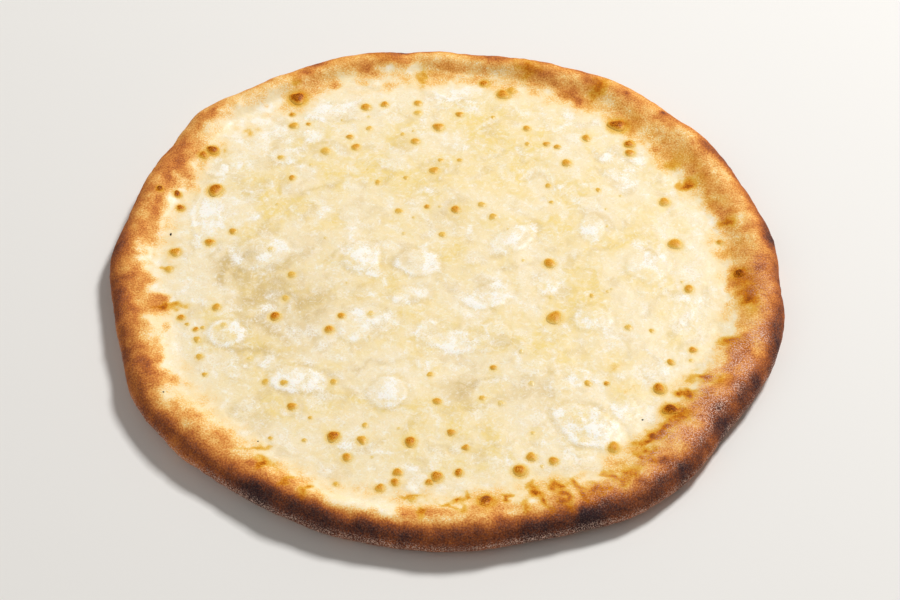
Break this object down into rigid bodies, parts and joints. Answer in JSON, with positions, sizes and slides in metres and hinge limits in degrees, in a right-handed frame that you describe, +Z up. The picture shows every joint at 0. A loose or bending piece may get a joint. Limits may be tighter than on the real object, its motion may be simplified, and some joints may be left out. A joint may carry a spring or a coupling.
{
  "type": "megrelian khachapuri cheese bread",
  "caption": "Round flat cheese bread with a puffed, browned rim round a shallow well of melted cheese with baked blisters.",
  "frame": {"origin": "on the surface the bread lies on, under the middle of its box", "axes": "+Z up through the flat bread; -Y towards the side that the picture was taken from; +X to the picture's right"},
  "size_m": [0.3, 0.3004, 0.0167],
  "materials": {
    "baked_crust": "baked dough, golden to dark brown, matt with a fine flour grain",
    "melted_cheese": "melted white cheese and butter, cream to pale yellow, softly glossy, with amber blisters"
  },
  "bodies": {
    "root": {"bread": "baked_crust", "cheese": "melted_cheese"}
  },
  "joints": []
}
